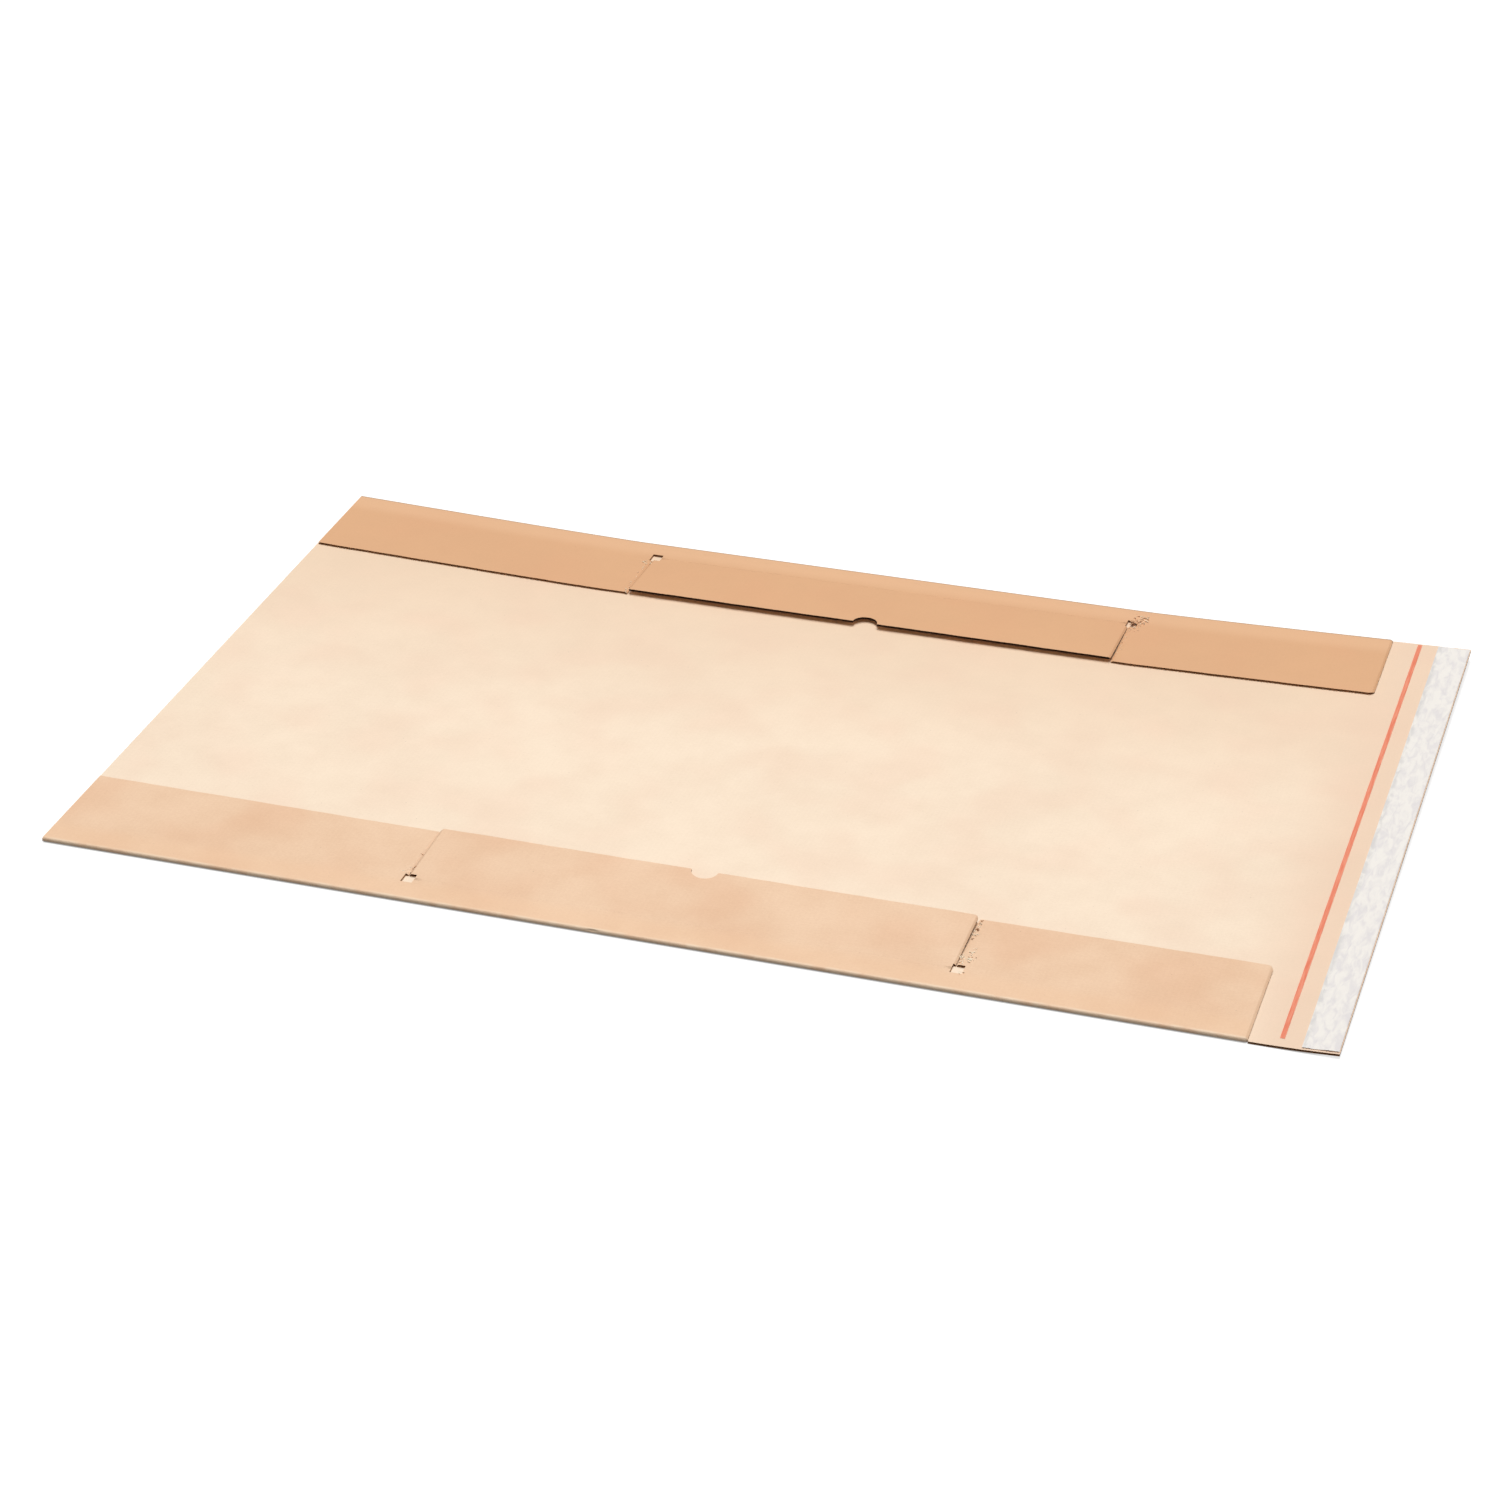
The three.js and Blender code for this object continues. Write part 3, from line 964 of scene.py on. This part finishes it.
slot_left, slot_right = [sum(span) / 2 for span in relief_spans]
off_cut = 2.2 * mm
by_right_cut = cut_right + off_cut
by_left_cut = cut_left - off_cut
tuft_group("front_pale_fibres", [
    (slot_right + 4 * mm, 42, 12, 12, 20, 3.0, 3), (slot_right + 4 * mm, 55, 5, 14, 8, 2.6, 4),
    (slot_left - 5 * mm, 41, 10, 9, 7, 2.2, 5), (by_right_cut, 78, 1.4, 8, 6, 2.6, 6),
    (by_right_cut, 92, 1.4, 7, 5, 2.4, 7), (slot_right + 3 * mm, 24, 5, 3, 5, 2.6, 21),
], torn_pale, -1)
# Brown torn tufts; those along the cuts stand where the flap's side wall lies in shade, as painted
# shade.
tuft_group("front_brown_fibres_and_shade", [
    (slot_right + 4 * mm, 44, 12, 12, 7, 1.8, 8), (slot_left - 4 * mm, 42, 10, 8, 4, 1.6, 9),
    (by_right_cut, 85, 1.4, 1.6, 8, 2.2, 18), (by_right_cut, 71.5, 1.2, 1.2, 5, 1.8, 19),
    (by_right_cut, 97, 1.4, 3, 4, 1.8, 20), (by_left_cut, 64, 1.4, 1.4, 4, 1.8, 23),
], torn_brown, -1)
tuft_group("rear_pale_fibres", [
    (slot_right + 6 * mm, 20, 15, 18, 26, 3.2, 10), (slot_right + 5 * mm, 37, 8, 8, 10, 2.6, 11),
    (slot_left - 4 * mm, 38, 8, 8, 8, 2.6, 12), (by_left_cut, 96, 2, 7, 9, 2.6, 13),
    (by_right_cut, 60, 1.4, 60, 14, 2.2, 14), (by_left_cut, 66, 1.4, 50, 12, 2.2, 24),
], torn_pale, 1)
tuft_group("rear_kraft_fibres", [
    (slot_right + 2.6 * mm, 27, 7, 8, 26, 4.4, 17), (slot_right + 5 * mm, 20, 12, 14, 12, 3.4, 25),
], outer_kraft, 1)
tuft_group("rear_brown_fibres", [
    (slot_right + 5 * mm, 22, 13, 16, 12, 2.2, 15), (slot_left - 4 * mm, 36, 8, 8, 4, 1.6, 16),
], torn_brown, 1)


# Tear strip
# A narrow tape of red plastic film, stuck down across the plain end. Pulled from its
# front end, it tears the closed pack open.
streak_scales = (1800, 60, 60)


def film_finish():
    material, wire, output = finish_named("red_tear_film")
    place = wire.node("TexCoord", output="Object")
    rub = noise(stretched(place, streak_scales), 1, 3)
    colour = rub.rising(0.3, 0.75).mix(tone(234, 122, 90), tone(246, 158, 126))
    shader = wire.node("BsdfPrincipled", {"Base Color": colour, "Roughness": 0.3 + rub * 0.2})
    wire.tree.links.new(shader.socket, output.inputs["Surface"])
    return material


def dress(node, material):
    """Gives a CAD node's own solid its finish."""
    solid = frame["nodes"][node]
    if not solid.material_slots:
        solid.data.materials.append(material)
    for slot in solid.material_slots:
        slot.material = material


dress("tear_strip", film_finish())


# Adhesive strip
# A band of clear hot-melt glue, laid across the plain end beside its edge. It closes the
# mailer once the liner over it is peeled off.
ripple_scale = 320
ripple_height = 0.1 * mm


def glue_finish():
    material, wire, output = finish_named("clear_hot_melt")
    place = wire.node("TexCoord", output="Object")
    ripple = noise(place, ripple_scale, 3)
    bump = wire.node("Bump", {"Height": ripple, "Distance": ripple_height}, output="Normal")
    colour = ripple.rising(0.3, 0.7).mix(tone(226, 214, 180), tone(238, 230, 206))
    shader = wire.node("BsdfPrincipled", {"Base Color": colour, "Roughness": 0.22, "Normal": bump})
    wire.tree.links.new(shader.socket, output.inputs["Surface"])
    return material


dress("adhesive_strip", glue_finish())


# Release liner
# A strip of white silicone paper over the adhesive, slightly cockled where it has been
# pressed down and let go.
liner_low, liner_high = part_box("release_liner")
liner_thickness = 0.15 * mm
liner_float = 0.5 * mm
cockle = 0.28 * mm
long_wave = 23 * mm
short_wave = 9.7 * mm
ridge_wave = 31 * mm
liner_x_step = 1.2 * mm
liner_y_step = 2.5 * mm
blotch_scales = (230, 70, 60)
blotch_curl = 0.7
grain_scale = 900
grain_height = 0.1 * mm
inner_edge_shadow_fade = (liner_low.x + 5 * mm, liner_low.x + 1 * mm)

liner_x = lines([liner_low.x, liner_high.x], liner_x_step)
liner_y = lines([liner_low.y, liner_high.y], liner_y_step)
liner_h = np.array([0, liner_thickness])


def on_liner(x, y, h):
    """Where a point of the liner lies: x and y over the sheet, h up from its under face."""
    across = (x - liner_low.x) / (liner_high.x - liner_low.x)
    waves = np.sin(y / long_wave + 3 * across) + np.sin(y / short_wave - 5 * across + 1)
    ridge = np.sin(across * 9 + np.sin(y / ridge_wave) * 1.6)
    rise = cockle * (0.35 * waves + 0.5 * ridge) * np.sin(math.pi * across) ** 0.5
    base = thickness + liner_float + 0.3 * cockle
    return x, y, base + h + rise + warp(x, y)


def liner_finish():
    material, wire, output = finish_named("silicone_paper")
    place = wire.node("TexCoord", output="Object")
    along = wire.node("SeparateXYZ", {0: place}, output="X")
    blotches = noise(stretched(place, blotch_scales), 1, 5, blotch_curl)
    shade = blotches.rising(0.36, 0.72) * 0.75
    colour = shade.mix(tone(246, 241, 234), tone(225, 220, 221))
    # Painted shadow along the liner's inner edge, where it stands proud of the board.
    inner_edge_shadow = along.rising(*inner_edge_shadow_fade) * blotches.rising(0.3, 0.6)
    colour = (inner_edge_shadow * 0.5).mix(colour, tone(206, 204, 200))
    grain = noise(place, grain_scale, 3) * 0.4 + blotches
    bump = wire.node("Bump", {"Height": grain, "Distance": grain_height}, output="Normal")
    shader = wire.node("BsdfPrincipled", {"Base Color": colour, "Roughness": 0.42, "Normal": bump})
    wire.tree.links.new(shader.socket, output.inputs["Surface"])
    return material


silicone_paper = liner_finish()
liner_cells = np.ones((len(liner_x) - 1, len(liner_y) - 1, 1), bool)
release_liner = cell_skin(
    "cockled_liner", liner_x, liner_y, liner_h, liner_cells, on_liner, [silicone_paper] * 4,
)
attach(release_liner, "board")
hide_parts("release_liner")


# Sizes
# The finished model's box.
low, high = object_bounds()
